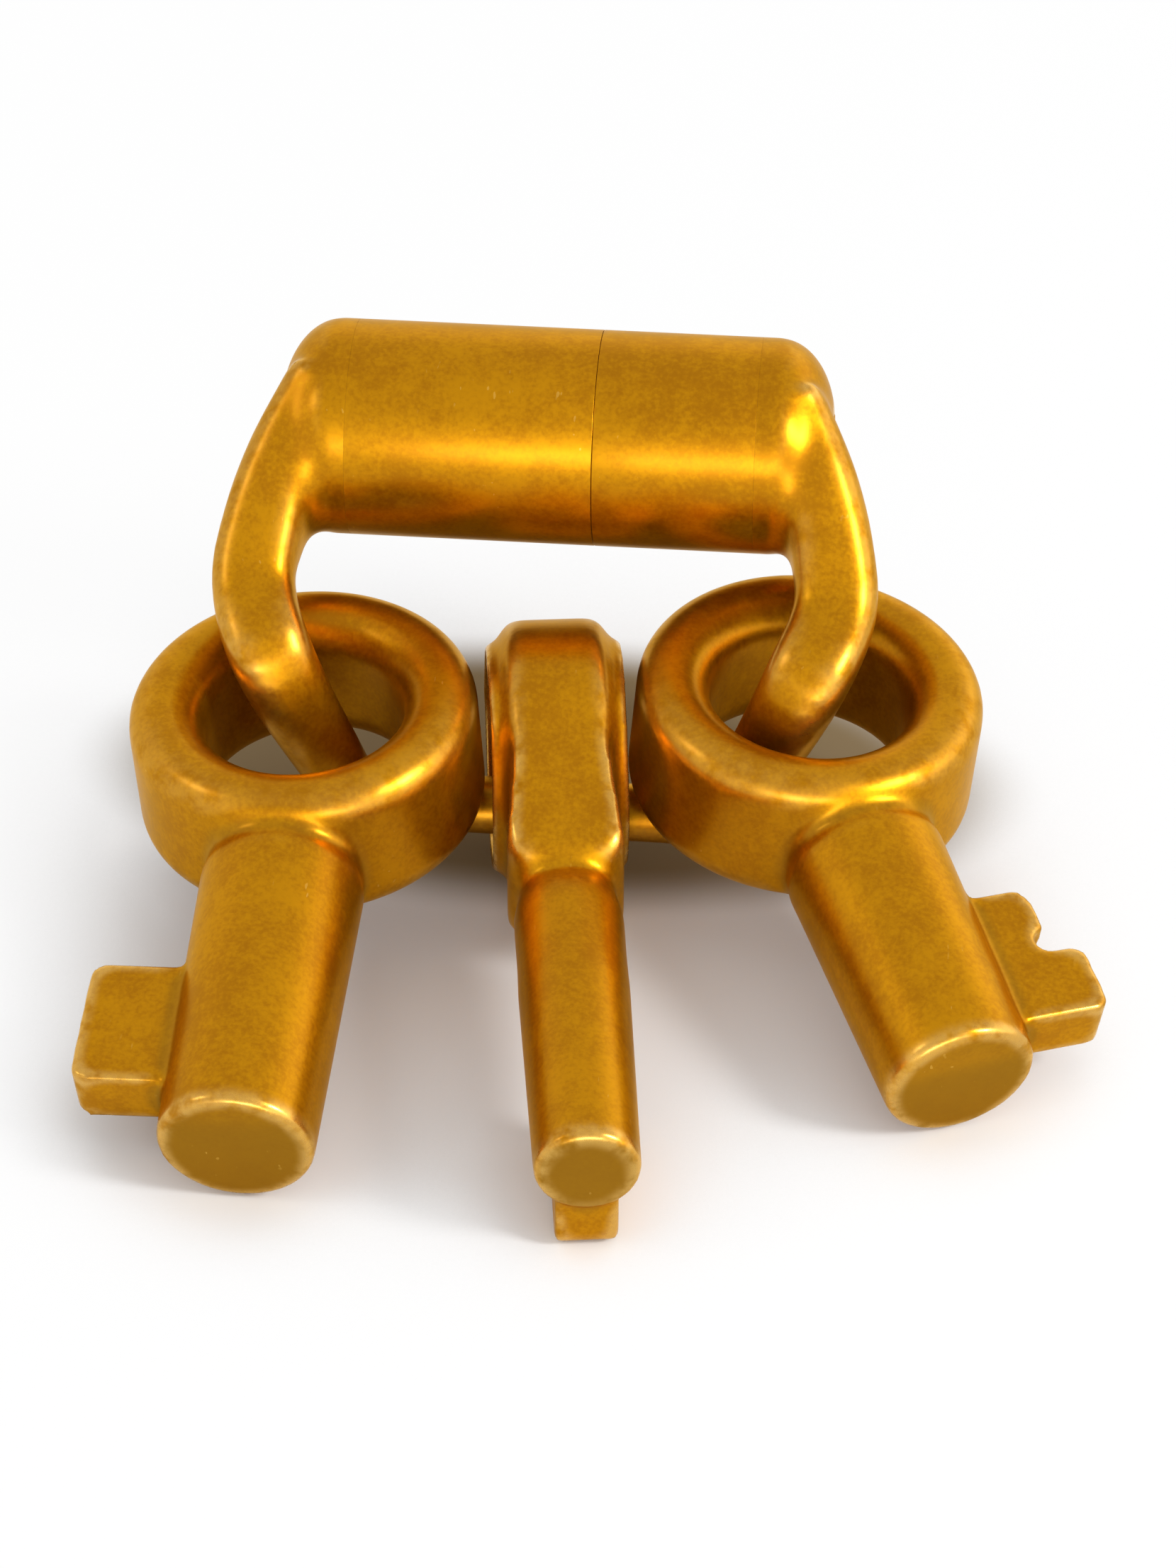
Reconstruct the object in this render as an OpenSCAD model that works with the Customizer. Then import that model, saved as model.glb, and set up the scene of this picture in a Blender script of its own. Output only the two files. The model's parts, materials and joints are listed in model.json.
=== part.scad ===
// Souvenir bunch of three old-fashioned keys on a shackle with a turned barrel.
// The bunch lies on a table: Z is up, the barrel runs along X, the keys point towards -Y.
// The origin is on the table, under the middle of the shackle's lower bar.

/* [Outer keys] */
// Radius of an outer key's round bow
bow_r = 12.5; // [12:0.1:13.2]
// Radius of the hole in an outer bow
bow_hole_r = 7.2; // [7:0.1:7.6]
// Thickness of an outer bow
bow_t = 11.2; // [10:0.1:11.8]
// Rounding of the outer edges of a bow
bow_edge_r = 2.2; // [1:0.1:2.4]
// Rounding of the edges of the hole in an outer bow
bow_lip_r = 2.9; // [1.5:0.1:3]
// Diameter of an outer key's stem at its end
stem_d = 10.8; // [9.5:0.1:11.5]
// Diameter of an outer key's stem at its root
stem_root_d = 11.6; // [10.8:0.1:12.2]
// Left key, from the middle of its bow to the end of its stem
left_reach = 36; // [32:0.5:46]
// Right key, from the middle of its bow to the end of its stem
right_reach = 32.6; // [31:0.2:41]
// Turn of the left key towards the right
left_yaw = -1; // [-6:0.5:4]
// Turn of the right key towards the right
right_yaw = 23; // [16:0.5:28]
// Angle at which an outer bow is set back from its stem, so that it lies flatter
bow_set = 7; // [4:0.5:8]
// Roll of the outer bows, inner side up
bow_roll = 3; // [0:0.5:5]
// Place of the left bow in front of the shackle's lower bar
left_fore = 3.8; // [3.2:0.1:4.6]
// Place of the right bow in front of the shackle's lower bar
right_fore = -1.2; // [-1.8:0.1:-0.4]
// Depth to which the stem's saddle wraps round the rim of its bow
cope = 1.6; // [1:0.1:1.9]

/* [Middle key] */
// Radius of the middle key's bow
mid_bow_r = 9.9; // [9.7:0.1:10.6]
// Width of the middle bow's band
mid_bow_w = 7.6; // [7:0.1:8]
// Rounding of the band's edges
mid_edge_r = 1.2; // [0.5:0.1:1.3]
// Outer radius of the bush in the middle bow
bush_r = 8.2; // [8:0.1:8.4]
// Radius of the hole in the bush
bush_bore_r = 7.5; // [7.2:0.1:7.6]
// Length of the bush, which stands proud on both sides
bush_len = 10.4; // [9.6:0.1:11]
// Diameter of the middle key's stem at its end
mid_stem_d = 7.2; // [6.6:0.1:7.8]
// Diameter of the middle key's stem at its root
mid_stem_root_d = 8; // [7:0.1:8.6]
// Middle key, from the middle of its bow to the end of its stem
mid_reach = 42.6; // [36.6:0.5:48.6]
// Turn of the middle key towards the right
mid_yaw = 8; // [4:0.5:10]
// Middle key, from the middle of its bow to the front of the nose that holds its stem
nose_reach = 15.2; // [14:0.1:16]
// Width of the nose at its front
nose_w = 8.5; // [8.2:0.1:9.2]
// Height of the nose at its front
nose_h = 8; // [7.4:0.1:8.6]
// Place of the middle key to the right of the shackle's middle
mid_x = 1.2; // [0.6:0.1:1.8]

/* [Bits] */
// Thickness of the bits
bit_t = 4.3; // [3:0.1:5]
// Length of a bit along its stem
bit_len = 10; // [9:0.1:12]
// How far an outer bit stands out from its stem
bit_out = 6.4; // [4.5:0.1:8]
// How far the middle bit stands out from its stem
mid_bit_out = 4.2; // [3:0.1:5]
// Depth of the slot in the stem that holds the bit
bit_slot = 1.2; // [0.8:0.1:2]
// Distance from the end of the left stem to its bit
bit_setback = 4; // [2:0.1:5]
// Distance from the end of the right stem to its stepped bit
stepped_setback = 2.6; // [2:0.1:5]
// Distance from the end of the middle stem to its bit
mid_bit_setback = 0.8; // [0.4:0.1:4]
// Rounding of the bits' corners
bit_corner_r = 1.2; // [0.5:0.1:1.8]
// Length of the right key's stepped bit along its stem
stepped_len = 11.2; // [10.5:0.1:12.5]
// Length of the right bit's longer tooth
tooth_len = 5.6; // [4:0.1:6.5]
// How much shorter the right bit's other tooth is
tooth_step = 2.2; // [1.5:0.1:3]
// Radius of the notch between the right bit's teeth
notch_r = 1; // [0.5:0.1:1.3]

/* [Shackle and barrel] */
// Diameter of the barrel and its cheeks
barrel_d = 15.7; // [14:0.1:16]
// Length of the barrel between the cheeks
barrel_len = 29.4; // [28:0.1:32]
// Length of the barrel that the longer sleeve takes
long_len = 17.8; // [15.5:0.1:20.5]
// Thickness of a cheek
cheek_t = 5.4; // [4.4:0.1:6]
// How far the outer side of a cheek is rounded off towards the barrel's axis
cheek_round = 6; // [3:0.1:7]
// Thickness of a cheek at its outer edge
cheek_rim = 1.2; // [0.6:0.1:2]
// Diameter of the pin through the barrel
pin_d = 5; // [4:0.1:6]
// Height of the shackle's lower bar
bar_h = 3.6; // [3.2:0.1:4]
// Width of the shackle's lower bar
bar_w = 4.4; // [3.6:0.1:4.8]
// Half the distance between the places where the bar rises through the outer bows
rise_x = 15.9; // [15.6:0.1:16.4]
// Width of an arm where it crosses the bow
arm_w = 6; // [5.6:0.1:6.4]
// Thickness of an arm where it crosses the bow
arm_h = 4.6; // [4:0.1:5]
// Half the width of the shackle, at the middle of its arms
arm_x = 21.2; // [20.6:0.1:22]
// Slope of the arms from the bows up to the barrel
arm_slope = 28; // [25:0.5:31]
// Length of an arm from the bow's rim to the barrel's axis
arm_len = 13.3; // [12.6:0.1:15]
// Place behind the lower bar where the arms cross the bows
cross_y = 3.2; // [2.8:0.1:4]

/* [Clearances] */
// Clearance between the shackle and the pieces that hang on it
hang_gap = 0.35; // [0.3:0.05:0.6]
// Radial clearance of the sleeves on their pin
run_gap = 0.05; // [0.02:0.01:0.1]
// Gap between the two sleeves at the seam
seam_gap = 0.25; // [0.1:0.05:0.5]
// Gap between a sleeve and its cheek
end_gap = 0.1; // [0.05:0.01:0.2]
// Clearance of seats that are brazed or pressed
seat_gap = 0.02; // [0.01:0.01:0.05]

/* [Hidden] */
$fn = 96;
gold = [0.80, 0.62, 0.30];
stem_r = stem_d / 2;
stem_root_r = stem_root_d / 2;
mid_stem_r = mid_stem_d / 2;
mid_stem_root_r = mid_stem_root_d / 2;
barrel_r = barrel_d / 2;
pin_r = pin_d / 2;
// Tenons that join the stems to their bows
tenon_r = 2.5;
tenon_len = 2.6;
mid_tenon_len = 3;
stem_edge_r = 0.7;
bush_edge_r = 0.3;
mid_lip_r = 0.3;
nose_corner = 0.9;
// How far inside the band the nose's flanks start
nose_sink = 0.15;
// Rounded shoulder at the root of a stem: how far in from the side, how far along
shoulder = [[1.4, 0], [0.42, 0.84], [0, 2.1]];
// Extra length of cuts that go right through
through = 1;

// Roundings that share a wall are limited by it, so that some flat is left between them
least_flat = 0.1;
function fitted(edge, other, wall, height) =
    min(edge, (wall - least_flat) * edge / (edge + other), (height - least_flat) / 2);
bow_wall = bow_r - bow_hole_r;
bow_edge = fitted(bow_edge_r, bow_lip_r, bow_wall, bow_t);
bow_lip = fitted(bow_lip_r, bow_edge_r, bow_wall, bow_t);
mid_wall = mid_bow_r - bush_r - seat_gap;
mid_edge = fitted(mid_edge_r, mid_lip_r, mid_wall, mid_bow_w);
mid_lip = fitted(mid_lip_r, mid_edge_r, mid_wall, mid_bow_w);
bush_edge = fitted(bush_edge_r, bush_edge_r, bush_r - bush_bore_r, bush_len);

// The middle bow stands on the table, and the lower bar lies in the bottom of its bush
mid_bow_z = mid_bow_r;
bar_bearing = 0.4;
bar_reach = bar_bearing * bar_w + bush_len / 2 * sin(mid_yaw);
bar_z = mid_bow_z - sqrt(bush_bore_r * bush_bore_r - bar_reach * bar_reach) + hang_gap + bar_h / 2;

// The outer bows lie on the lower bar with their inner rims, beside the bush
rim_r = (bow_r + bow_hole_r) / 2;
bow_z = bar_z + bar_h / 2 + hang_gap + bow_t / 2 - rim_r * sin(bow_roll);
bush_half = bush_len / 2 / cos(mid_yaw);
left_x = mid_x - bush_half + left_fore * tan(mid_yaw) - bow_r - hang_gap;
right_x = mid_x + bush_half + right_fore * tan(mid_yaw) + bow_r + hang_gap;

// The stems' ends and the middle key's bit rest on the table
function rest_pitch(height, along, below) =
    asin(height / sqrt(along * along + below * below)) - atan(below / along);
left_pitch = rest_pitch(bow_z, left_reach, stem_r);
right_pitch = rest_pitch(bow_z, right_reach, stem_r);
mid_pitch = rest_pitch(mid_bow_z, mid_reach - mid_bit_setback, mid_stem_r + mid_bit_out);

// Extra height of the arms over the rims, for the bend down into the holes
arm_lift = 0.1;
// The arms cross over the far rims of the outer bows and rise to the barrel
rim_top_z = bow_z + rim_r * sin(max(left_pitch, right_pitch) - bow_set) + bow_t / 2;
cross_z = rim_top_z + hang_gap + arm_h / 2 + arm_lift;
barrel_y = cross_y + arm_len * cos(arm_slope);
barrel_z = cross_z + arm_len * sin(arm_slope);
cheek_x = (barrel_len + cheek_t) / 2;
seam_x = long_len - barrel_len / 2;

// Middle line of the shackle's bar, from the middle of the lower bar to the right-hand cheek
arm_line = arm_len * [0, cos(arm_slope), sin(arm_slope)];
arm_up = [0, -sin(arm_slope), cos(arm_slope)];
function along_arm(x, part, crown) = [x, cross_y, cross_z] + part * arm_line + crown * arm_up;
// The bar leans forward by rise_fore as it rises, most where it is rise_low under the bow's middle
rise_fore = 1.4;
rise_low = 1;
rise_start = 0.4;
// How far the bar's two bends reach from there, inwards below and outwards above
bend_in = 3.1;
bend_out = 3.2;
// Last point inside the hole: how far in front of the lower bar, how far under the arm
mouth_fore = 1.2;
mouth_drop = 3;
// How far the arm is drawn in at the rim, at its first third and at its second third
rim_in = 0.3;
arm_in = 0.7;
neck_in = 0.1;
// How much the arm thickens towards its cheek, at the same thirds, and how far its middle rises with that
arm_swell = 2;
neck_swell = 6;
arm_crown = 0.5;
// Roundness of the bar's section: 1 is an ellipse, less is squarer
lower_round = 1;
rise_round = 0.85;
mouth_round = 0.75;
rim_round = 0.7;
arm_round = 0.65;
cheek_square = 0.62;
bar_points = [
    [0, 0, bar_z],
    [rise_x - 2 * bend_in, 0, bar_z],
    [rise_x - bend_in, -rise_start * rise_fore, bar_z],
    [rise_x, -rise_fore, bow_z - rise_low],
    [rise_x + bend_out, -mouth_fore, cross_z - mouth_drop],
    along_arm(arm_x - rim_in, 0, 0),
    along_arm(arm_x - arm_in, 1 / 3, arm_crown),
    along_arm((cheek_x + arm_x) / 2 - neck_in, 2 / 3, arm_crown),
    along_arm(cheek_x, 1, 0)
];
// Width, thickness and roundness of the bar at those points
bar_sizes = [
    [bar_w, bar_h, lower_round],
    [bar_w, bar_h, lower_round],
    [bar_w, bar_h, lower_round],
    [(bar_w + arm_w) / 2, (bar_h + arm_h) / 2, rise_round],
    [arm_w, arm_h, mouth_round],
    [arm_w, arm_h, rim_round],
    [arm_w, arm_h + arm_swell, arm_round],
    [arm_w, arm_h + neck_swell, cheek_square],
    [cheek_t, barrel_d, cheek_square]
];
// Half section of a cheek, from the barrel's axis outwards
cheek_profile = concat(
    [[0, 0], [barrel_r, 0]],
    [for (a = [0 : 10 : 90])
        [barrel_r - cheek_round * (1 - cos(a)), cheek_rim + (cheek_t - cheek_rim) * sin(a)]],
    [[0, cheek_t]]
);
bar_steps = 5;
bar_sides = 20;

// Places of the keys: bow in the XY plane, stem along -Y
module left_place() {
    translate([left_x, -left_fore, bow_z])
        rotate([0, 0, left_yaw])
            rotate([left_pitch, 0, 0])
                rotate([0, -bow_roll, 0])
                    children();
}

module right_place() {
    translate([right_x, -right_fore, bow_z])
        rotate([0, 0, right_yaw])
            rotate([right_pitch, 0, 0])
                rotate([0, bow_roll, 0])
                    children();
}

module mid_place() {
    translate([mid_x, 0, mid_bow_z])
        rotate([0, 0, mid_yaw])
            rotate([mid_pitch, 0, 0])
                rotate([0, 90, 0])
                    children();
}

// Quarter of a disc, towards +x or -x and +y or -y
module quarter(r, x, y) {
    intersection() {
        circle(r);
        translate([min(x, 0) * r, min(y, 0) * r])
            square(r);
    }
}

// Half section of a ring with rounded edges, from radius a to radius b
module ring_section(a, b, h, lip, edge) {
    translate([a + lip, -h / 2])
        square([b - a - lip - edge, h]);
    translate([a, -h / 2 + lip])
        square([lip, h - 2 * lip]);
    translate([b - edge, -h / 2 + edge])
        square([edge, h - 2 * edge]);
    for (y = [-1, 1]) {
        translate([a + lip, y * (h / 2 - lip)])
            quarter(lip, -1, y);
        translate([b - edge, y * (h / 2 - edge)])
            quarter(edge, 1, y);
    }
}

// Hole along -Y for a stem's tenon, whose end is at the given place
module socket(place, tenon) {
    rotate([90, 0, 0])
        translate([0, 0, place - tenon - seat_gap])
            cylinder(h = tenon + 2 * through, r = tenon_r + seat_gap);
}

// An outer key's round bow, set back from its stem, with the socket for the stem
module outer_bow() {
    difference() {
        rotate([-bow_set, 0, 0])
            rotate_extrude()
                ring_section(bow_hole_r, bow_r, bow_t, bow_lip, bow_edge);
        socket(bow_r, tenon_len);
    }
}

// Side of the middle key's nose: flanks from the band to the flat front
module nose_side() {
    top = [nose_h / 2, -nose_reach];
    turn = acos((mid_bow_r - nose_sink) / norm(top)) + atan2(top[1], top[0]);
    flank = (mid_bow_r - nose_sink) * [cos(turn), sin(turn)];
    polygon([flank, top, [-top[0], top[1]], [-flank[0], flank[1]]]);
}

// Plan of the nose, which widens to its front and has its corners taken off
module nose_plan() {
    back = mid_bow_w / 2 - mid_edge;
    wide = nose_w / 2;
    corner = nose_corner - nose_reach;
    polygon([
        [back, 0], [wide, corner], [wide - nose_corner, -nose_reach],
        [nose_corner - wide, -nose_reach], [-wide, corner], [-back, 0]
    ]);
}

// The middle key's bow: a band with a nose that holds the stem
module middle_bow() {
    difference() {
        union() {
            rotate_extrude()
                ring_section(bush_r + seat_gap, mid_bow_r, mid_bow_w, mid_lip, mid_edge);
            difference() {
                intersection() {
                    linear_extrude(2 * nose_w, center = true)
                        nose_side();
                    rotate([0, 90, 0])
                        linear_extrude(3 * mid_bow_r, center = true)
                            nose_plan();
                }
                cylinder(h = 2 * nose_w, r = bush_r + mid_lip, center = true);
            }
        }
        socket(nose_reach, mid_tenon_len);
    }
}

// Solid disc with rounded edges, the size of a bow with its seat clearance
module bow_envelope(r, t, edge) {
    rotate_extrude() {
        translate([0, -t / 2 - seat_gap])
            square([r - edge, t + 2 * seat_gap]);
        translate([0, -t / 2 + edge])
            square([r + seat_gap, t - 2 * edge]);
        for (s = [-1, 1])
            translate([r - edge, s * (t / 2 - edge)])
                circle(edge + seat_gap);
    }
}

// A tapered round bar along -Y from its root, with its tenon and its bit's slot
module stem(root, root_r, r, reach, tenon_from, turn, setback, slot_len) {
    side = [for (p = shoulder) [root_r - p[0], root + p[1]]];
    end = [[r, reach - stem_edge_r], [r - stem_edge_r, reach], [0, reach]];
    difference() {
        rotate([90, 0, 0])
            rotate_extrude() {
                polygon(concat([[0, root]], side, end));
                translate([r - stem_edge_r, reach - stem_edge_r])
                    circle(stem_edge_r);
            }
        rotate([0, turn, 0])
            translate([r - bit_slot, -reach + setback - seat_gap, -bit_t / 2 - seat_gap])
                cube([r, slot_len + 2 * seat_gap, bit_t + 2 * seat_gap]);
    }
    rotate([90, 0, 0])
        translate([0, 0, tenon_from])
            cylinder(h = root - tenon_from + through, r = tenon_r);
}

// An outer key's stem, coped to the rim of its bow
module outer_stem(reach, turn, setback, slot_len) {
    difference() {
        stem(bow_r - cope, stem_root_r, stem_r, reach, bow_r - cope, turn, setback, slot_len);
        rotate([-bow_set, 0, 0])
            bow_envelope(bow_r, bow_t, bow_edge);
    }
    rotate([90, 0, 0])
        translate([0, 0, bow_r - tenon_len])
            cylinder(h = tenon_len + bow_edge, r = tenon_r);
}

// Outline of a bit: x outwards from the floor of its slot, y along the stem from its end
module bit_outline(out, len) {
    translate([0, bit_corner_r])
        square([out, len - 2 * bit_corner_r]);
    square([out - bit_corner_r, len]);
    for (y = [bit_corner_r, len - bit_corner_r])
        translate([out - bit_corner_r, y])
            circle(bit_corner_r);
}

// A bit let into its stem, turned about the stem
module bit(r, reach, out, turn, setback, plate_len, stepped) {
    deep = out + bit_slot - seat_gap;
    rotate([0, turn, 0])
        translate([r - bit_slot + seat_gap, -reach + setback, -bit_t / 2])
            linear_extrude(bit_t)
                if (stepped) {
                    difference() {
                        bit_outline(deep - tooth_step, plate_len);
                        translate([deep - tooth_step, tooth_len + notch_r])
                            circle(notch_r);
                    }
                    bit_outline(deep, tooth_len);
                } else {
                    bit_outline(deep, plate_len);
                }
}

// A smooth curve through the points of a list, past point i by the share t
function knot(list, i) = list[max(0, min(len(list) - 1, i))];
function curve(list, i, t) =
    let (a = knot(list, i - 1), b = knot(list, i), c = knot(list, i + 1), d = knot(list, i + 2))
    b + 0.5 * t * (c - a + t * (2 * a - 5 * b + 4 * c - d + t * (3 * (b - c) + d - a)));
function unit(v) = v / norm(v);
function soft(v, power) = sign(v) * pow(abs(v), power);
function mirrored(p) = [-p[0], p[1], p[2]];

// The bar is one loft from cheek to cheek, flattened across the arms' plane
module bar_loft() {
    last = len(bar_points) - 1;
    points = concat([for (i = [last : -1 : 1]) mirrored(bar_points[i])], bar_points);
    sizes = concat([for (i = [last : -1 : 1]) bar_sizes[i]], bar_sizes);
    stops = [for (i = [0 : 2 * last - 1], k = [0 : bar_steps - 1]) [i, k / bar_steps]];
    marks = concat(stops, [[2 * last - 1, 1]]);
    line = [for (m = marks) curve(points, m[0], m[1])];
    wide = [for (m = marks) curve(sizes, m[0], m[1])];
    count = len(line);
    rings = [
        for (i = [0 : count - 1])
            let (
                ahead = unit(line[min(count - 1, i + 1)] - line[max(0, i - 1)]),
                deep = unit(arm_up - (arm_up * ahead) * ahead),
                side = cross(deep, ahead)
            )
            for (k = [0 : bar_sides - 1])
                let (a = 360 * k / bar_sides)
                line[i] + side * soft(cos(a), wide[i][2]) * wide[i][0] / 2
                    + deep * soft(sin(a), wide[i][2]) * wide[i][1] / 2
    ];
    skin = [
        for (i = [0 : count - 2], k = [0 : bar_sides - 1])
            let (n = (k + 1) % bar_sides, a = i * bar_sides, b = a + bar_sides)
            each [[a + k, b + k, b + n], [a + k, b + n, a + n]]
    ];
    start_cap = [[for (k = [0 : bar_sides - 1]) k]];
    end_cap = [[for (k = [bar_sides - 1 : -1 : 0]) (count - 1) * bar_sides + k]];
    polyhedron(points = rings, faces = concat(skin, start_cap, end_cap));
}

// Along X from the middle of the barrel
module barrel_place() {
    translate([0, barrel_y, barrel_z])
        rotate([0, 90, 0])
            children();
}

module shackle() {
    color(gold)
        difference() {
            union() {
                bar_loft();
                for (s = [0, 1])
                    barrel_place()
                        mirror([0, 0, s])
                            translate([0, 0, barrel_len / 2])
                                rotate_extrude()
                                    polygon(cheek_profile);
            }
            barrel_place()
                cylinder(h = barrel_len, r = barrel_r + hang_gap, center = true);
            barrel_place()
                cylinder(h = barrel_len + 2 * (cheek_t + through), r = pin_r + seat_gap, center = true);
        }
}

module cross_pin() {
    color(gold)
        barrel_place()
            cylinder(h = barrel_len + 2 * cheek_t, r = pin_r, center = true);
}

// A barrel sleeve between two places along the barrel
module sleeve(from, to) {
    color(gold)
        barrel_place()
            translate([0, 0, from])
                difference() {
                    cylinder(h = to - from, r = barrel_r);
                    translate([0, 0, -through])
                        cylinder(h = to - from + 2 * through, r = pin_r + run_gap);
                }
}

module long_sleeve() {
    sleeve(-barrel_len / 2 + end_gap, seam_x - seam_gap / 2);
}

module short_sleeve() {
    sleeve(seam_x + seam_gap / 2, barrel_len / 2 - end_gap);
}

module left_key_bow() {
    color(gold)
        left_place()
            outer_bow();
}

module left_key_stem() {
    color(gold)
        left_place()
            outer_stem(left_reach, 180, bit_setback, bit_len);
}

module left_key_bit() {
    color(gold)
        left_place()
            bit(stem_r, left_reach, bit_out, 180, bit_setback, bit_len, false);
}

module middle_key_bow() {
    color(gold)
        mid_place()
            middle_bow();
}

module middle_key_bush() {
    color(gold)
        mid_place()
            rotate_extrude()
                ring_section(bush_bore_r, bush_r, bush_len, bush_edge, bush_edge);
}

module middle_key_stem() {
    color(gold)
        mid_place()
            stem(
                nose_reach + seat_gap, mid_stem_root_r, mid_stem_r, mid_reach,
                nose_reach - mid_tenon_len, 0, mid_bit_setback, bit_len
            );
}

module middle_key_bit() {
    color(gold)
        mid_place()
            bit(mid_stem_r, mid_reach, mid_bit_out, 0, mid_bit_setback, bit_len, false);
}

module right_key_bow() {
    color(gold)
        right_place()
            outer_bow();
}

module right_key_stem() {
    color(gold)
        right_place()
            outer_stem(right_reach, 0, stepped_setback, stepped_len);
}

module right_key_bit() {
    color(gold)
        right_place()
            bit(stem_r, right_reach, bit_out, 0, stepped_setback, stepped_len, true);
}

shackle();
cross_pin();
long_sleeve();
short_sleeve();
left_key_bow();
left_key_stem();
left_key_bit();
middle_key_bow();
middle_key_bush();
middle_key_stem();
middle_key_bit();
right_key_bow();
right_key_stem();
right_key_bit();
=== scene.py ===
"""Looks of a bunch of gilt keys on a shackle with a turned barrel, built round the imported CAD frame."""
import json
import math

import bmesh
import bpy
import numpy as np
from mathutils import Matrix, Vector


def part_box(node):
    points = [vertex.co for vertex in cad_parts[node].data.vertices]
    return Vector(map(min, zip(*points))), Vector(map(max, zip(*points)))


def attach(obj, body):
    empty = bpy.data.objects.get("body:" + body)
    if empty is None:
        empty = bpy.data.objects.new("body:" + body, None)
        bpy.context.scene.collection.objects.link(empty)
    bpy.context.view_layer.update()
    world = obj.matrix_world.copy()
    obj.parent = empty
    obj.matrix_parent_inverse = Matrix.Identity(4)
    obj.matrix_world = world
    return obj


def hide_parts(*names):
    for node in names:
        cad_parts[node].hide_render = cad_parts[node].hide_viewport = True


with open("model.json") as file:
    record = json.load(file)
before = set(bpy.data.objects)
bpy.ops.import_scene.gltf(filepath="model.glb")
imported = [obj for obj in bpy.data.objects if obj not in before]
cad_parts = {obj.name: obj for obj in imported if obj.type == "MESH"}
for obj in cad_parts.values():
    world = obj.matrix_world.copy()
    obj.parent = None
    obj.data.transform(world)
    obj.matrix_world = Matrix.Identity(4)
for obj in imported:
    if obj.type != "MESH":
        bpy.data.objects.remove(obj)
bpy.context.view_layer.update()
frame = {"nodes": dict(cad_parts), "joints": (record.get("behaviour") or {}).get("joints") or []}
scene = bpy.context.scene
nodes = frame["nodes"]
joints = {joint["name"]: joint for joint in frame["joints"]}

# Sizes of the skins, in metres
MM = 0.001
VOXEL = 0.28 * MM
BARREL_SIDES = 144
SEAM_EDGE = 0.05 * MM
SEAM_WIDTH = 0.03 * MM
CHEEK_TOUCH = 0.005 * MM
CHEEK_EDGE = 0.01 * MM
SEAT_GAP = 0.02 * MM
RUN_GAP = 0.05 * MM
END_GAP = 0.1 * MM
KEY_ROOT_R = 2.6 * MM
ROOT_PAST = 4 * MM
BAND_ROOT_PAST = 8 * MM
NOSE_START = 3 * MM
NOSE_FADE = 5 * MM
NOSE_END = 10 * MM
NOSE_ROOT_R = 5 * MM
BIT_ROOT_R = 0.8 * MM
INNER_CORNER_R = 2.2 * MM
ARM_ROOT_R = 9 * MM
BORE_PAST = 4 * MM

# How the skins are worked: rounds of each tool and the share of a step in one round
KEY_POLISH = 8
KEY_ROOT_FILL = 70
BIT_ROOT_FILL = 14
BAND_STROKES = 16
NOSE_FILL = 120
NOSE_STROKES = 50
SHACKLE_POLISH = 4
INNER_CORNER_FILL = 60
ARM_ROOT_FILL = 160
ARM_POLISH = 180
ARM_GIVE_BACK = 0.507
LAST_STROKES = 2
STROKE = 0.5
GIVE_BACK = 0.52
FILL_STEP = 0.9
FILL_SLIDE = 0.3
NORMALS_EVERY = 4
MARK_SPREAD = 8
MARK_MOST = 2
CRISP_SHACKLE = 40
CRISP_SLEEVE = 50


def unit(vector):
    """The vector at length 1."""
    return np.asarray(vector, float) / np.linalg.norm(vector)


def smoothstep(low, high, values):
    """0 below low, 1 above high, and a soft rise between them."""
    share = np.clip((values - low) / (high - low), 0, 1)
    return share * share * (3 - 2 * share)


def points_of(mesh):
    """The mesh's points as an array."""
    flat = np.empty(len(mesh.vertices) * 3)
    mesh.vertices.foreach_get("co", flat)
    return flat.reshape(-1, 3)


def node_points(*names):
    """The points of these CAD nodes."""
    return np.concatenate([points_of(nodes[name].data) for name in names])


def new_piece(name, mesh):
    """A new object in the scene."""
    piece = bpy.data.objects.new(name, mesh)
    scene.collection.objects.link(piece)
    return piece


def applied(piece):
    """The piece with its modifiers made real."""
    graph = bpy.context.evaluated_depsgraph_get()
    mesh = bpy.data.meshes.new_from_object(piece.evaluated_get(graph))
    old = piece.data
    piece.modifiers.clear()
    piece.data = mesh
    bpy.data.meshes.remove(old)
    return piece


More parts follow.
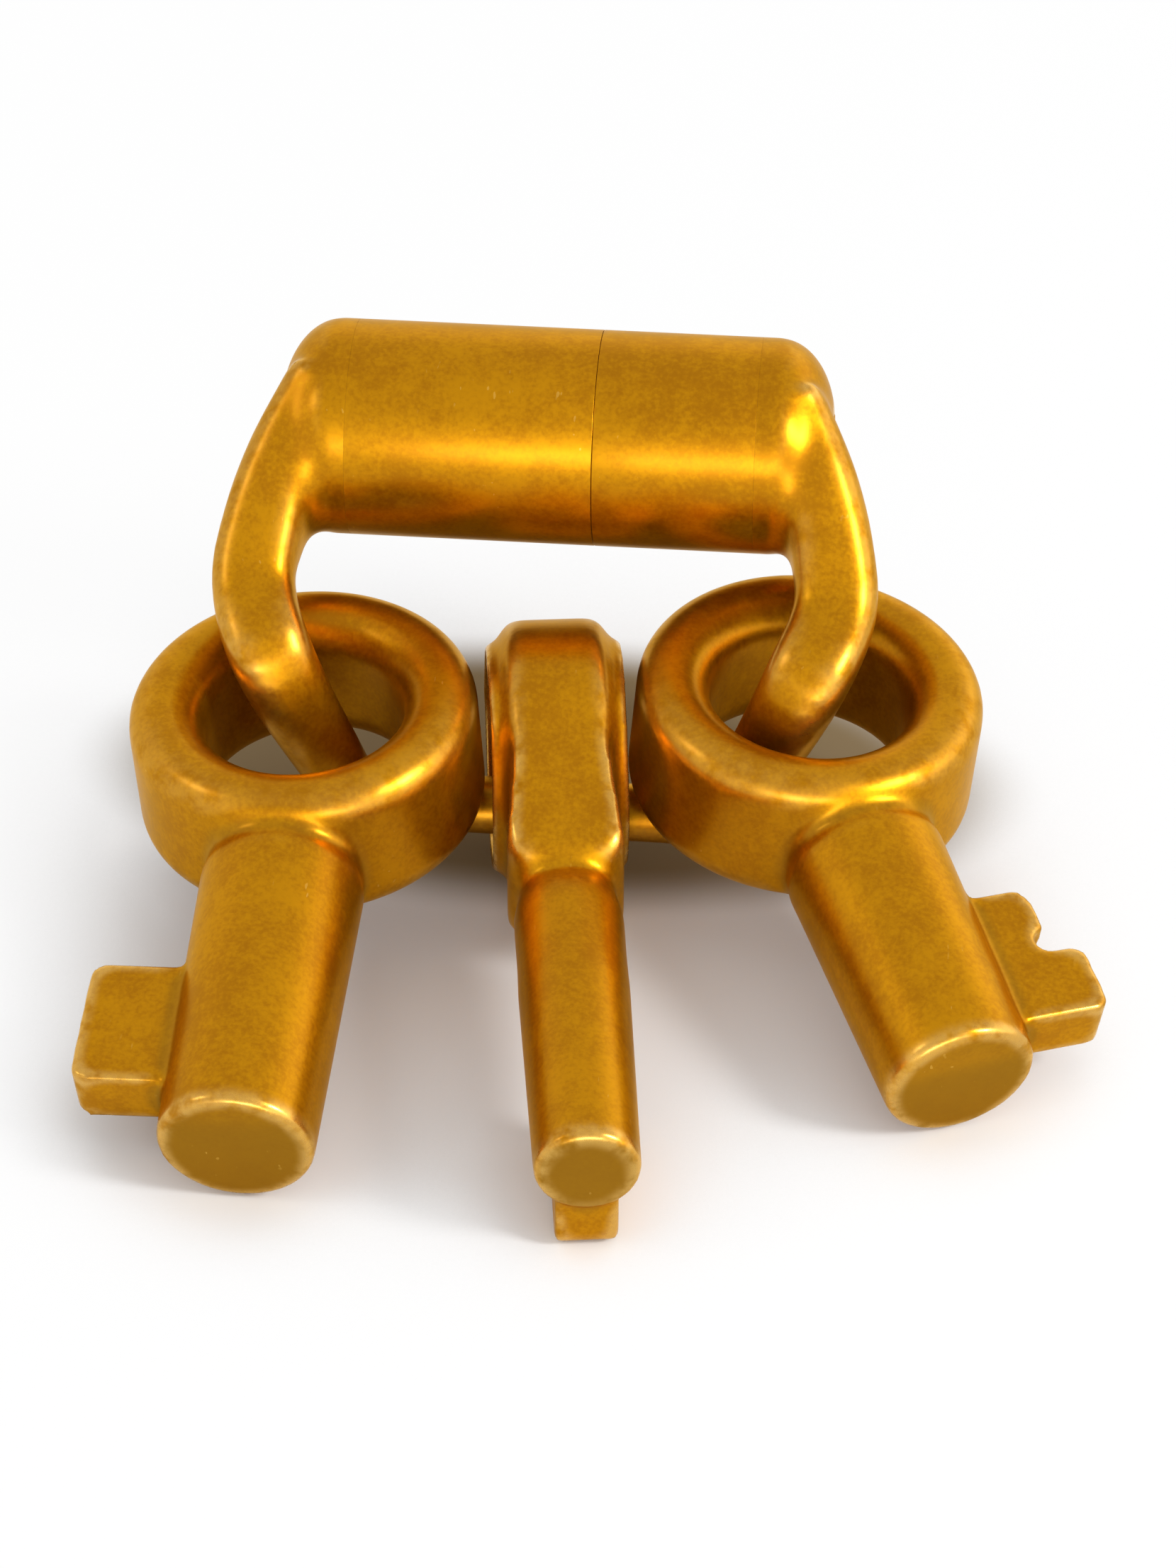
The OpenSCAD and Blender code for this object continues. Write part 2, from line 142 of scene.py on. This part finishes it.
class Skin:
    """A mesh held as arrays, so that its points can be worked like filler and a polishing wheel."""

    def __init__(self, mesh):
        self.mesh = mesh
        self.points = points_of(mesh)
        self.count = len(self.points)
        edges = np.empty(len(mesh.edges) * 2, np.int64)
        mesh.edges.foreach_get("vertices", edges)
        edges = edges.reshape(-1, 2)
        self.start = np.concatenate([edges[:, 0], edges[:, 1]])
        self.end = np.concatenate([edges[:, 1], edges[:, 0]])
        self.degree = np.bincount(self.start, minlength=self.count).clip(1)[:, None]
        mesh.calc_loop_triangles()
        corners = np.empty(len(mesh.loop_triangles) * 3, np.int64)
        mesh.loop_triangles.foreach_get("vertices", corners)
        self.triangles = corners.reshape(-1, 3)

    def spread(self, values):
        """The mean of each point's neighbours."""
        columns = [
            np.bincount(self.start, column[self.end], self.count)
            for column in values.reshape(self.count, -1).T
        ]
        return np.stack(columns, 1) / self.degree

    def normals(self):
        """Unit normals at the points."""
        a, b, c = (self.points[self.triangles[:, k]] for k in range(3))
        faces = np.cross(b - a, c - a)
        total = np.zeros_like(self.points)
        for k in range(3):
            for axis in range(3):
                total[:, axis] += np.bincount(self.triangles[:, k], faces[:, axis], self.count)
        return total / np.linalg.norm(total, axis=1, keepdims=True).clip(1e-30)

    def bend(self):
        """How much the surface turns at each point, in 1/m: hollows are positive, edges are negative."""
        pull = self.spread(self.points) - self.points
        step = np.linalg.norm(self.points[self.start] - self.points[self.end], axis=1)
        width = np.bincount(self.start, step ** 2, self.count) / self.degree[:, 0]
        return 4 * np.einsum("ij,ij->i", pull, self.normals()) / width.clip(1e-30)

    def fill_hollows(self, rounds, radius, where=None):
        """Fills inner corners up to about this radius."""
        share = np.ones(self.count) if where is None else where
        step = np.linalg.norm(self.points[self.start] - self.points[self.end], axis=1)
        least = np.mean(step ** 2) / (4 * radius)
        for turn in range(rounds):
            if turn % NORMALS_EVERY == 0:
                normal = self.normals()
            pull = self.spread(self.points) - self.points
            out = np.einsum("ij,ij->i", pull, normal)
            rise = np.clip(out - least, 0, None) * share
            slide = pull - out[:, None] * normal
            self.points += FILL_STEP * rise[:, None] * normal + FILL_SLIDE * slide

    def polish(self, rounds, where=None, give_back=GIVE_BACK):
        """Takes off the voxels' steps, and gives the form its size back after each stroke."""
        part = 1.0 if where is None else where[:, None]
        for _ in range(rounds):
            for share in (STROKE, -give_back):
                self.points += share * part * (self.spread(self.points) - self.points)

    def soften(self, rounds, where=None):
        """Rounds every edge a little."""
        share = STROKE if where is None else STROKE * where[:, None]
        for _ in range(rounds):
            self.points += share * (self.spread(self.points) - self.points)

    def keep(self, where=1.0, end_shade=0.0):
        """Writes the points back, with the edges (for wear and painted highlight) and the hollows and cut
        ends (for painted shade) as attributes for the finish.
        """
        self.mesh.vertices.foreach_set("co", self.points.ravel())
        bend = self.bend()[:, None]
        for _ in range(MARK_SPREAD):
            bend = self.spread(bend)
        turn = bend[:, 0] * MM
        # Edges mark wear and painted highlight; hollows and cut ends mark painted shade
        worn_and_glint = where * np.clip(-turn, 0, MARK_MOST)
        hollow = where * np.clip(turn, 0, MARK_MOST) + end_shade
        for name, values in (("worn_and_glinting_edge", worn_and_glint), ("hollow", hollow)):
            layer = self.mesh.attributes.new(name, "FLOAT", "POINT")
            layer.data.foreach_set("value", values.astype(np.float32))
        self.mesh.update()


def joined_solid(name, names, extra=()):
    """One mesh of several CAD nodes and extra meshes, joined by a voxel grid."""
    work = bmesh.new()
    for node in names:
        work.from_mesh(nodes[node].data)
    for mesh in extra:
        work.from_mesh(mesh)
    mesh = bpy.data.meshes.new(name)
    work.to_mesh(mesh)
    work.free()
    return new_piece(name, mesh)


def voxelled(piece, size):
    """The piece remade on a voxel grid."""
    grid = piece.modifiers.new("grid", "REMESH")
    grid.mode = "VOXEL"
    grid.voxel_size = size
    return applied(piece)


def smooth_shaded(piece):
    """The piece with smooth shading."""
    piece.data.polygons.foreach_set("use_smooth", [True] * len(piece.data.polygons))
    return piece


class Key:
    """Where a key's bow and stem lie, read from its CAD nodes."""

    def __init__(self, name):
        self.name = name
        joint = joints[name + "_swing"]
        self.middle = np.array(joint["pos_m"])
        self.axis = unit(joint["axis"])
        stem = node_points(name + "_stem") - self.middle
        way = unit(stem.mean(0))
        far = (stem @ way) > (stem @ way).max() - 0.3 * MM
        self.way = unit(stem[far].mean(0))
        self.reach = (stem @ self.way).max()
        bow = node_points(name + "_bow") - self.middle
        self.bow_r = np.linalg.norm(bow - np.outer(bow @ self.axis, self.axis), axis=1).max()
        off = stem - np.outer(stem @ self.way, self.way)
        self.stem_r = np.linalg.norm(off[far], axis=1).max()
        side = unit(np.cross(self.axis, self.way))
        self.square_to = Matrix(np.stack([np.cross(side, self.axis), side, self.axis], 1).tolist()).to_4x4()

    def along(self, points):
        """How far the points lie along the stem from the bow's middle."""
        return (points - self.middle) @ self.way

    def off_stem(self, points):
        """How far the points lie from the stem's axis."""
        rel = points - self.middle
        return np.linalg.norm(rel - np.outer(rel @ self.way, self.way), axis=1)


def cast_key(name, members, band_strokes=0, root_past=ROOT_PAST):
    """One key as a casting: its CAD pieces joined, with soft fillets where they meet."""
    key = Key(name)
    names = [name + "_" + member for member in members]
    piece = joined_solid(name + "_casting", names)
    piece.data.transform(key.square_to.inverted())
    piece = voxelled(piece, VOXEL)
    piece.data.transform(key.square_to)
    skin = Skin(piece.data)
    skin.polish(KEY_POLISH)
    clear_of_bit = 1 - smoothstep(key.stem_r + 0.8 * MM, key.stem_r + 1.8 * MM, key.off_stem(skin.points))
    root_end = key.bow_r + root_past
    along = key.along(skin.points)
    near_bow = 1 - smoothstep(root_end, root_end + 2 * MM, along)
    nose = smoothstep(key.bow_r - NOSE_START, key.bow_r, along)
    nose *= 1 - smoothstep(key.bow_r + NOSE_FADE, key.bow_r + NOSE_END, along)
    skin.fill_hollows(KEY_ROOT_FILL, KEY_ROOT_R, near_bow)
    skin.fill_hollows(BIT_ROOT_FILL, BIT_ROOT_R, clear_of_bit)
    skin.soften(band_strokes, near_bow)
    if band_strokes:
        skin.fill_hollows(NOSE_FILL, NOSE_ROOT_R, nose)
        skin.soften(NOSE_STROKES, nose)
    skin.soften(LAST_STROKES)
    # The stems' cut end faces get painted shade through the hollow mark
    cut_face = smoothstep(key.reach - 0.3 * MM, key.reach - 0.1 * MM, key.along(skin.points))
    skin.keep(end_shade=cut_face)
    smooth_shaded(piece)
    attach(piece, name)
    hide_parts(*names)
    return piece


def ring_of(radius, x, centre):
    """Points of a circle about an axis along X."""
    turns = np.arange(BARREL_SIDES) * 2 * math.pi / BARREL_SIDES
    return [(x, centre[1] + radius * math.cos(a), centre[2] + radius * math.sin(a)) for a in turns]


def lathe(name, centre, profile):
    """A closed turned piece about an axis along X, through the profile's pairs of place and radius."""
    work = bmesh.new()
    rings = [[work.verts.new(p) for p in ring_of(radius, x, centre)] for x, radius in profile]
    for ring, following in zip(rings, rings[1:] + rings[:1]):
        for k in range(BARREL_SIDES):
            n = (k + 1) % BARREL_SIDES
            work.faces.new((ring[k], ring[n], following[n], following[k]))
    bmesh.ops.recalc_face_normals(work, faces=work.faces)
    mesh = bpy.data.meshes.new(name)
    work.to_mesh(mesh)
    work.free()
    return mesh


def solid_bar(name, centre, low, high, radius):
    """A plain closed cylinder along X, used only to fill or to cut."""
    work = bmesh.new()
    ends = [[work.verts.new(p) for p in ring_of(radius, x, centre)] for x in (low, high)]
    for k in range(BARREL_SIDES):
        n = (k + 1) % BARREL_SIDES
        work.faces.new((ends[0][k], ends[0][n], ends[1][n], ends[1][k]))
    work.faces.new(ends[0])
    work.faces.new(ends[1])
    bmesh.ops.recalc_face_normals(work, faces=work.faces)
    mesh = bpy.data.meshes.new(name)
    work.to_mesh(mesh)
    work.free()
    return mesh


# The barrel's place and sizes come from its sleeves and its pin
barrel_axis = np.array(joints["long_sleeve_spin"]["pos_m"])
long_low, long_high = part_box("long_sleeve")
short_low, short_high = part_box("short_sleeve")
pin_low, pin_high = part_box("cross_pin")
barrel_r = (long_high.z - long_low.z) / 2
pin_r = (pin_high.z - pin_low.z) / 2
cheek_right = short_high.x + END_GAP
cheek_left = long_low.x - END_GAP


def off_axis(points):
    """How far the points lie from the barrel's axis."""
    return np.hypot(points[:, 1] - barrel_axis[1], points[:, 2] - barrel_axis[2])


def off_cheek(points):
    """How far the points lie from the nearer cheek's inner face, along the barrel."""
    return np.minimum(abs(points[:, 0] - cheek_left), abs(points[:, 0] - cheek_right))


def true_up(points):
    """Brings the cheeks' rims to the barrel's own roundness."""
    radius = off_axis(points)
    share = 1 - smoothstep(0.15 * MM, 0.35 * MM, abs(radius - barrel_r))
    share *= 1 - smoothstep(0.8 * MM, 1.6 * MM, off_cheek(points))
    scale = 1 + share * (barrel_r / radius - 1)
    for axis in (1, 2):
        points[:, axis] = barrel_axis[axis] + scale * (points[:, axis] - barrel_axis[axis])


def cast_shackle():
    """The shackle with soft inner corners and crisp seats for the barrel and the pin."""
    filler = solid_bar("filler", barrel_axis, cheek_left - MM, cheek_right + MM, barrel_r)
    plug = solid_bar("plug", barrel_axis, pin_low.x + SEAT_GAP, pin_high.x - SEAT_GAP, pin_r + 0.2 * MM)
    piece = voxelled(joined_solid("shackle_casting", ["shackle"], [filler, plug]), VOXEL)
    skin = Skin(piece.data)
    skin.polish(SHACKLE_POLISH)
    skin.fill_hollows(INNER_CORNER_FILL, INNER_CORNER_R)
    beyond = smoothstep(0.5 * MM, 1.5 * MM, abs(skin.points[:, 0]) - cheek_right)
    skin.fill_hollows(ARM_ROOT_FILL, ARM_ROOT_R, beyond)
    arms = smoothstep(0.2 * MM, 2 * MM, off_axis(skin.points) - barrel_r)
    skin.polish(ARM_POLISH, np.maximum(arms, beyond), ARM_GIVE_BACK)
    skin.soften(LAST_STROKES)
    true_up(skin.points)
    skin.mesh.vertices.foreach_set("co", skin.points.ravel())
    skin.mesh.update()
    cuts = (
        solid_bar("barrel_space", barrel_axis, cheek_left, cheek_right, barrel_r + 3 * MM),
        solid_bar("pin_bore", barrel_axis, pin_low.x - BORE_PAST, pin_high.x + BORE_PAST, pin_r + SEAT_GAP),
    )
    for mesh in cuts:
        cutter = new_piece(mesh.name, mesh)
        cut = piece.modifiers.new("cut", "BOOLEAN")
        cut.operation = "DIFFERENCE"
        cut.solver = "EXACT"
        cut.object = cutter
        applied(piece)
        bpy.data.objects.remove(cutter)
    skin = Skin(piece.data)
    skin.keep(smoothstep(0.8 * MM, 2 * MM, off_cheek(skin.points)))
    smooth_shaded(piece)
    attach(piece, "shackle")
    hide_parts("shackle")
    return piece


def turned_sleeve(name, low, high, low_edge, high_edge):
    """A barrel sleeve: tight against its cheek, with a small soft edge at the seam."""
    bore = pin_r + RUN_GAP
    turns = [math.radians(angle) for angle in (0, 30, 60, 90)]
    outer = [(low + low_edge * (1 - math.cos(a)), barrel_r - low_edge * (1 - math.sin(a))) for a in turns]
    outer += [
        (high - high_edge * (1 - math.cos(a)), barrel_r - high_edge * (1 - math.sin(a)))
        for a in reversed(turns)
    ]
    mesh = lathe(name + "_turned", barrel_axis, outer + [(high, bore), (low, bore)])
    piece = smooth_shaded(new_piece(name + "_turned", mesh))
    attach(piece, name)
    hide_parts(name)
    return piece


def edge_split(piece, degrees):
    """Keeps crisp edges sharper than this angle."""
    split = piece.modifiers.new("crisp", "EDGE_SPLIT")
    split.split_angle = math.radians(degrees)
    return applied(piece)


left = cast_key("left_key", ("bow", "stem", "bit"))
middle = cast_key("middle_key", ("bow", "bush", "stem", "bit"), BAND_STROKES, BAND_ROOT_PAST)
right = cast_key("right_key", ("bow", "stem", "bit"))
shackle = cast_shackle()
edge_split(shackle, CRISP_SHACKLE)
seam = (long_high.x + short_low.x) / 2
seam_left = seam - SEAM_WIDTH / 2
seam_right = seam + SEAM_WIDTH / 2
long_sleeve = turned_sleeve("long_sleeve", cheek_left + CHEEK_TOUCH, seam_left, CHEEK_EDGE, SEAM_EDGE)
short_sleeve = turned_sleeve("short_sleeve", seam_right, cheek_right - CHEEK_TOUCH, SEAM_EDGE, CHEEK_EDGE)
for sleeve in (long_sleeve, short_sleeve):
    edge_split(sleeve, CRISP_SLEEVE)
pin = nodes["cross_pin"]


class Wire:
    """A socket of a node tree, with operators that add Math nodes."""

    def __init__(self, tree, socket=None):
        self.tree = tree
        self.socket = socket

    def node(self, kind, settings=None, sockets=None, out=0):
        """Any node: its settings first, then the values or links of its sockets."""
        made = self.tree.nodes.new(kind)
        for name, value in (settings or {}).items():
            setattr(made, name, value)
        for name, value in (sockets or {}).items():
            if isinstance(value, Wire):
                self.tree.links.new(value.socket, made.inputs[name])
            else:
                made.inputs[name].default_value = value
        return Wire(self.tree, made.outputs[out]) if made.outputs else None

    def maths(self, operation, *values):
        """A Math node."""
        return self.node("ShaderNodeMath", {"operation": operation}, dict(enumerate(values)))

    def __add__(self, other):
        return self.maths("ADD", self, other)

    def __radd__(self, other):
        return self.maths("ADD", other, self)

    def __sub__(self, other):
        return self.maths("SUBTRACT", self, other)

    def __rsub__(self, other):
        return self.maths("SUBTRACT", other, self)

    def __mul__(self, other):
        return self.maths("MULTIPLY", self, other)

    def __rmul__(self, other):
        return self.maths("MULTIPLY", other, self)

    def between(self, low, high):
        """0 at low and below, 1 at high and above, with a soft rise."""
        sockets = {"Value": self, "From Min": low, "From Max": high}
        return self.node("ShaderNodeMapRange", {"interpolation_type": "SMOOTHSTEP"}, sockets)

    def mixed(self, first, second):
        """Two colours mixed by this share."""
        return self.node("ShaderNodeMix", {"data_type": "RGBA"}, {0: self, 6: first, 7: second}, 2)

    def noise(self, scale, detail, roughness=0.55):
        """Noise over this place."""
        sockets = {"Vector": self, "Scale": scale, "Detail": detail, "Roughness": roughness}
        return self.node("ShaderNodeTexNoise", None, sockets)


def parts_of(place):
    """The X, Y and Z of a place."""
    return [place.node("ShaderNodeSeparateXYZ", None, {"Vector": place}, axis) for axis in range(3)]


def fresh_tree(owner):
    """An empty node tree of a material or a world, as a wire to start from."""
    owner.use_nodes = True
    owner.node_tree.nodes.clear()
    return Wire(owner.node_tree)


# Colours of the finish
GILT = (0.545, 0.236, 0.0016, 1)
DEEP_GILT = (0.415, 0.160, 0.0012, 1)
PALE_GILT = (0.800, 0.480, 0.090, 1)
# Painted shade for the hollows and the stems' cut ends
PAINTED_SHADE_GILT = (0.270, 0.125, 0.006, 1)
EDGE_GILT = (1, 0.82, 0.4, 1)

# Sizes of the finish's noises, per metre, and the stretch of its polishing lines
CLOUD_SCALE = 150
MOTTLE_SCALE = 700
GRAIN_SCALE = 3000
LINE_SCALE = 2400
LINE_STRETCH = (1.0, 0.22, 0.7)
MICRON = 0.000001


def gilt(name):
    """Satin gilt on a casting: painted shade in the hollows and on the cut ends, paler edges of wear and
    painted highlight, fine grain and a few scratches.
    """
    finish = bpy.data.materials.new(name)
    start = fresh_tree(finish)
    place = start.node("ShaderNodeTexCoord", out=3)
    edge = start.node("ShaderNodeAttribute", {"attribute_name": "worn_and_glinting_edge"}, out=2)
    hollow = start.node("ShaderNodeAttribute", {"attribute_name": "hollow"}, out=2)
    drawn = start.node("ShaderNodeVectorMath", {"operation": "MULTIPLY"}, {0: place, 1: LINE_STRETCH})
    cloud = place.noise(CLOUD_SCALE, 3)
    mottle = place.noise(MOTTLE_SCALE, 3)
    grain = place.noise(GRAIN_SCALE, 3)
    lines = drawn.noise(LINE_SCALE, 1)
    tone = 0.5 + (cloud - 0.5) * 1.1 + (mottle - 0.5) * 0.7 + (grain - 0.5) * 1.1
    colour = tone.between(0.15, 0.85).mixed(DEEP_GILT, GILT)
    # Painted shade: darker gilt in the hollows and on the cut ends
    painted_shade = hollow.between(0.05, 0.55) * 0.5 + hollow.between(0.7, 1.0) * 0.35
    colour = painted_shade.mixed(colour, PAINTED_SHADE_GILT)
    # Paler edges: partly real wear, partly painted highlight
    wear_and_glint = edge.between(0.22, 1.1) * mottle.between(0.25, 0.6)
    colour = (wear_and_glint * 0.5).mixed(colour, PALE_GILT)
    scratch = lines.between(0.72, 0.76) * cloud.between(0.52, 0.66)
    colour = (scratch * 0.35).mixed(colour, PALE_GILT)
    rough = 0.34 + (cloud - 0.5) * 0.10 + (grain - 0.5) * 0.14 - wear_and_glint * 0.08
    # Heights of the relief in microns
    height = cloud * 30 + mottle * 5 + grain * 2 + lines * 1.2 - scratch * 3
    bump = start.node("ShaderNodeBump", None, {"Strength": 1.0, "Distance": MICRON, "Height": height})
    shader = start.node("ShaderNodeBsdfPrincipled", None, {
        "Base Color": colour, "Roughness": rough, "Normal": bump,
        "Coat Weight": 0.08 + wear_and_glint * 0.5, "Coat Roughness": 0.24,
        "Metallic": 0.92, "Specular IOR Level": 0.2, "Specular Tint": EDGE_GILT,
    })
    start.node("ShaderNodeOutputMaterial", None, {"Surface": shader})
    return finish


gilt_finish = gilt("satin_gilt")
for piece in (left, middle, right, shackle, long_sleeve, short_sleeve, pin):
    piece.data.materials.clear()
    piece.data.materials.append(gilt_finish)


# The floor, and the patch of painted shadow on it under the bunch
FLOOR_HALF = 3.0
FLOOR_DROP = 0.05 * MM
SHADE_REACH = 40 * MM
SHADE_MIDDLE = 11 * MM
SHADE_ACROSS = 32 * MM
SHADE_DEEP = 15 * MM
OPEN_TONE = (0.72, 0.72, 0.72, 1)
# Painted shadow under the bunch, with a painted gold bounce in its tint
PAINTED_SHADOW_TONE = (0.21, 0.155, 0.085, 1)
WHITE = (1, 1, 1, 1)
WHITE_SHARE = 0.92
# Outputs of the Light Path node: camera, glossy and transmission rays
SEEN_RAYS = (0, 3, 6)


def paper_floor():
    """A plain white floor: white where it is open, shaded where the object covers it, with a painted shadow
    patch under the bunch.
    """
    mesh = bpy.data.meshes.new("floor")
    corners = [(-1, -1), (1, -1), (1, 1), (-1, 1)]
    places = [(x * FLOOR_HALF, y * FLOOR_HALF, -FLOOR_DROP) for x, y in corners]
    mesh.from_pydata(places, [], [(0, 1, 2, 3)])
    floor = new_piece("floor", mesh)
    paper = bpy.data.materials.new("white_paper")
    start = fresh_tree(paper)
    camera, glossy, through = (start.node("ShaderNodeLightPath", out=kind) for kind in SEEN_RAYS)
    seen = start.maths("MINIMUM", camera + glossy + through, 1.0)
    open_floor = start.node("ShaderNodeAmbientOcclusion", None, {"Distance": SHADE_REACH}, 1)
    x, y, _ = parts_of(start.node("ShaderNodeTexCoord", out=3))
    across = x * (1 / SHADE_ACROSS)
    deep = (y - SHADE_MIDDLE) * (1 / SHADE_DEEP)
    # 0 inside the painted shadow patch, 1 outside it
    clear_of_painted_shadow = (across * across + deep * deep).between(0.6, 1.4)
    tone = clear_of_painted_shadow.mixed(PAINTED_SHADOW_TONE, OPEN_TONE)
    matt = start.node("ShaderNodeBsdfPrincipled", None, {
        "Base Color": tone, "Roughness": 0.9, "Specular IOR Level": 0.0,
    })
    glow = start.node("ShaderNodeEmission", None, {"Color": WHITE, "Strength": 1.0})
    share = seen * clear_of_painted_shadow * open_floor.between(0.55, 0.95) * WHITE_SHARE
    both = start.node("ShaderNodeMixShader", None, {0: share, 1: matt, 2: glow})
    start.node("ShaderNodeOutputMaterial", None, {"Surface": both})
    mesh.materials.append(paper)


# Levels of the sky and of its band, and how the band changes to the back and to the right
SKY_LEVEL = 0.84
BAND_LEVEL = 0.66
BAND_BACK = 0.14
BAND_RIGHT = 0.56


def white_world():
    """A soft studio sky, brightest in a band above the horizon and on the right."""
    world = bpy.data.worlds.new("studio")
    scene.world = world
    start = fresh_tree(world)
    rightward, backward, height = parts_of(start.node("ShaderNodeTexCoord", out=0))
    band = height.between(-0.1, 0.12) * (1 - height.between(0.3, 0.75))
    level = SKY_LEVEL + band * (BAND_LEVEL - backward * BAND_BACK + rightward * BAND_RIGHT)
    sky = start.node("ShaderNodeBackground", None, {"Color": WHITE, "Strength": level})
    start.node("ShaderNodeOutputWorld", None, {"Surface": sky})


# Each lamp's name, place, size and watts, in metres, and the place they point at
LAMP_TARGET = (0, 0, 12 * MM)
LAMPS = (
    ("front_box", (0.06, -0.46, 0.13), (0.34, 0.10), 0.55),
    ("right_box", (0.37, -0.16, 0.28), (0.10, 0.12), 1.4),
    ("left_box", (-0.36, -0.10, 0.30), (0.10, 0.12), 0.12),
)


def soft_box(name, place, size, watts):
    """A soft area lamp pointed at the bunch."""
    lamp = bpy.data.lights.new(name, "AREA")
    lamp.shape = "RECTANGLE"
    lamp.size, lamp.size_y = size
    lamp.energy = watts
    thing = bpy.data.objects.new(name, lamp)
    scene.collection.objects.link(thing)
    thing.location = place
    thing.rotation_euler = (Vector(LAMP_TARGET) - Vector(place)).to_track_quat("-Z", "Y").to_euler()


# The camera fitted to the photograph
CAMERA_TARGET = Vector((3.8, -3.3, 10)) * MM
CAMERA_AZIMUTH = math.radians(4.9)
CAMERA_ELEVATION = math.radians(38)
CAMERA_DISTANCE = 350 * MM
SENSOR_WIDTH = 36
FOCAL_PIXELS = 6853
PHOTO_PIXELS = 1659


def photo_camera():
    """The camera at the photograph's angle."""
    level_part = math.cos(CAMERA_ELEVATION)
    back = Vector((
        math.sin(CAMERA_AZIMUTH) * level_part,
        -math.cos(CAMERA_AZIMUTH) * level_part,
        math.sin(CAMERA_ELEVATION),
    ))
    lens = bpy.data.cameras.new("photo_camera")
    lens.sensor_fit = "HORIZONTAL"
    lens.sensor_width = SENSOR_WIDTH
    lens.lens = SENSOR_WIDTH * FOCAL_PIXELS / PHOTO_PIXELS
    lens.clip_start = 0.01
    camera = bpy.data.objects.new("photo_camera", lens)
    scene.collection.objects.link(camera)
    camera.location = CAMERA_TARGET + back * CAMERA_DISTANCE
    camera.rotation_euler = (-back).to_track_quat("-Z", "Y").to_euler()
    scene.camera = camera


scene.view_settings.view_transform = "Standard"
paper_floor()
white_world()
photo_camera()
for lamp_values in LAMPS:
    soft_box(*lamp_values)
